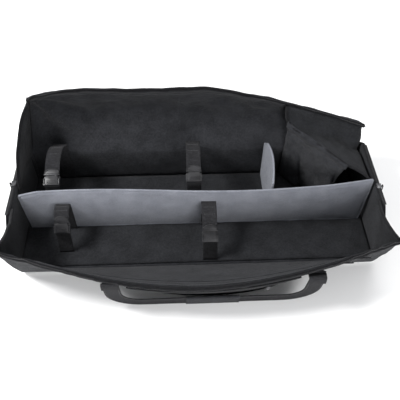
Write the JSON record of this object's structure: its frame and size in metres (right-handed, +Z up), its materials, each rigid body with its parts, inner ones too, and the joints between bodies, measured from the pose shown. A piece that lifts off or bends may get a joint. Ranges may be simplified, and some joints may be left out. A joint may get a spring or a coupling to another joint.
{
  "type": "telescope carry case",
  "caption": "Long padded fabric case, unzipped and open, with a tube compartment, a tripod compartment, buckled straps and grab handles.",
  "frame": {"origin": "middle of the underside of the bottom panel", "axes": "+X along the case towards its right end (accessory compartment), +Y towards the back (hood side), +Z up"},
  "size_m": [0.916, 0.5113, 0.3163],
  "materials": {
    "shell_fabric": "matt charcoal woven polyester",
    "lining": "smooth silver-grey nylon lining over foam",
    "webbing": "ribbed black webbing",
    "buckle_plastic": "satin black moulded plastic",
    "zip": "black zip tape with nylon coil",
    "slider_metal": "plated die-cast metal"
  },
  "bodies": {
    "root": {"bottom_panel": "shell_fabric", "floor_pad": "lining", "back_wall": "shell_fabric", "left_end_panel": "shell_fabric", "right_end_panel": "shell_fabric", "zip_tape_left_end": "zip", "zip_tape_right_end": "zip", "handle_band_back_left": "webbing", "handle_band_back_right": "webbing", "tube_strap_left_anchor": "webbing", "tube_strap_left_buckle_socket": "buckle_plastic", "tube_strap_left_tail": "webbing", "tube_strap_right_anchor": "webbing", "tube_strap_right_buckle_socket": "buckle_plastic", "tube_strap_right_tail": "webbing", "tripod_strap_left_anchor": "webbing", "tripod_strap_left_buckle_socket": "buckle_plastic", "tripod_strap_left_tail": "webbing", "tripod_strap_right_anchor": "webbing", "tripod_strap_right_buckle_socket": "buckle_plastic", "tripod_strap_right_tail": "webbing"},
    "hood": {"hood_panel": "shell_fabric", "hood_left_gusset": "shell_fabric", "hood_right_gusset": "shell_fabric", "zip_tape_hood": "zip"},
    "front_flap": {"front_flap_panel": "shell_fabric", "flap_left_gusset": "shell_fabric", "flap_right_gusset": "shell_fabric", "zip_tape_flap": "zip", "handle_band_front_left": "webbing", "handle_band_front_right": "webbing", "rim_tab_left": "webbing", "rim_tab_right": "webbing", "front_pocket": "shell_fabric", "pocket_zip": "zip"},
    "main_divider": {"main_divider": "lining"},
    "cross_divider": {"cross_divider": "lining"},
    "tube_strap_left": {"tube_strap_left_webbing": "webbing", "tube_strap_left_buckle_tongue": "buckle_plastic"},
    "tube_strap_right": {"tube_strap_right_webbing": "webbing", "tube_strap_right_buckle_tongue": "buckle_plastic"},
    "tripod_strap_left": {"tripod_strap_left_webbing": "webbing", "tripod_strap_left_buckle_tongue": "buckle_plastic"},
    "tripod_strap_right": {"tripod_strap_right_webbing": "webbing", "tripod_strap_right_buckle_tongue": "buckle_plastic"},
    "handle_front": {"handle_front": "webbing"},
    "handle_back": {"handle_back": "webbing"},
    "zip_slider_left": {"zip_slider_left": "slider_metal"},
    "zip_slider_right": {"zip_slider_right": "slider_metal"},
    "zip_pull_left": {"zip_pull_left": "webbing"},
    "zip_pull_right": {"zip_pull_right": "webbing"},
    "pocket_slider": {"pocket_slider": "slider_metal"},
    "pocket_pull": {"pocket_pull": "slider_metal"}
  },
  "joints": [
    {"name": "hood_fold", "type": "hinge", "parent": "root", "child": "hood", "pos_m": [0, 0.158, 0.122], "axis": [-1, 0, 0], "range_deg": [-66, 0]},
    {"name": "front_flap_fold", "type": "hinge", "parent": "root", "child": "front_flap", "pos_m": [0, -0.159, 0.014], "axis": [1, 0, 0], "range_deg": [-50, 0]},
    {"name": "main_divider_lift", "type": "slide", "parent": "root", "child": "main_divider", "axis": [0, 0, 1], "range_m": [0, 0.16]},
    {"name": "cross_divider_lift", "type": "slide", "parent": "root", "child": "cross_divider", "axis": [0, 0, 1], "range_m": [0, 0.15]},
    {"name": "tube_strap_left_lift", "type": "hinge", "parent": "root", "child": "tube_strap_left", "pos_m": [-0.355, 0.138, 0.15], "axis": [-1, 0, 0], "range_deg": [0, 45]},
    {"name": "tube_strap_right_lift", "type": "hinge", "parent": "root", "child": "tube_strap_right", "pos_m": [-0.005, 0.138, 0.15], "axis": [-1, 0, 0], "range_deg": [0, 45]},
    {"name": "tripod_strap_left_lift", "type": "hinge", "parent": "root", "child": "tripod_strap_left", "pos_m": [-0.331, -0.039, 0.116], "axis": [-1, 0, 0], "range_deg": [0, 50]},
    {"name": "tripod_strap_right_lift", "type": "hinge", "parent": "root", "child": "tripod_strap_right", "pos_m": [0.03, -0.039, 0.116], "axis": [-1, 0, 0], "range_deg": [0, 50]},
    {"name": "handle_front_swing", "type": "hinge", "parent": "front_flap", "child": "handle_front", "pos_m": [0.03, -0.285, 0.137], "axis": [-1, 0, 0], "range_deg": [0, 95]},
    {"name": "handle_back_swing", "type": "hinge", "parent": "root", "child": "handle_back", "pos_m": [0.03, 0.1645, 0.108], "axis": [1, 0, 0], "range_deg": [0, 80]},
    {"name": "zip_slider_left_travel", "type": "slide", "parent": "root", "child": "zip_slider_left", "axis": [0, 1, 0], "range_m": [0, 0.07]},
    {"name": "zip_slider_right_travel", "type": "slide", "parent": "root", "child": "zip_slider_right", "axis": [0, 1, 0], "range_m": [-0.045, 0.07]},
    {"name": "zip_pull_left_swing", "type": "hinge", "parent": "zip_slider_left", "child": "zip_pull_left", "pos_m": [-0.457, 0, 0.157], "axis": [0, 1, 0], "range_deg": [0, 120]},
    {"name": "zip_pull_right_swing", "type": "hinge", "parent": "zip_slider_right", "child": "zip_pull_right", "pos_m": [0.457, -0.04, 0.157], "axis": [0, -1, 0], "range_deg": [0, 120]},
    {"name": "pocket_slider_travel", "type": "slide", "parent": "front_flap", "child": "pocket_slider", "axis": [0.9879, 0.1246, 0.0926], "range_m": [-0.035, 0.03]},
    {"name": "pocket_pull_swing", "type": "hinge", "parent": "pocket_slider", "child": "pocket_pull", "pos_m": [0.152, -0.2855, 0.1011], "axis": [-1, 0, 0], "range_deg": [0, 100]}
  ]
}
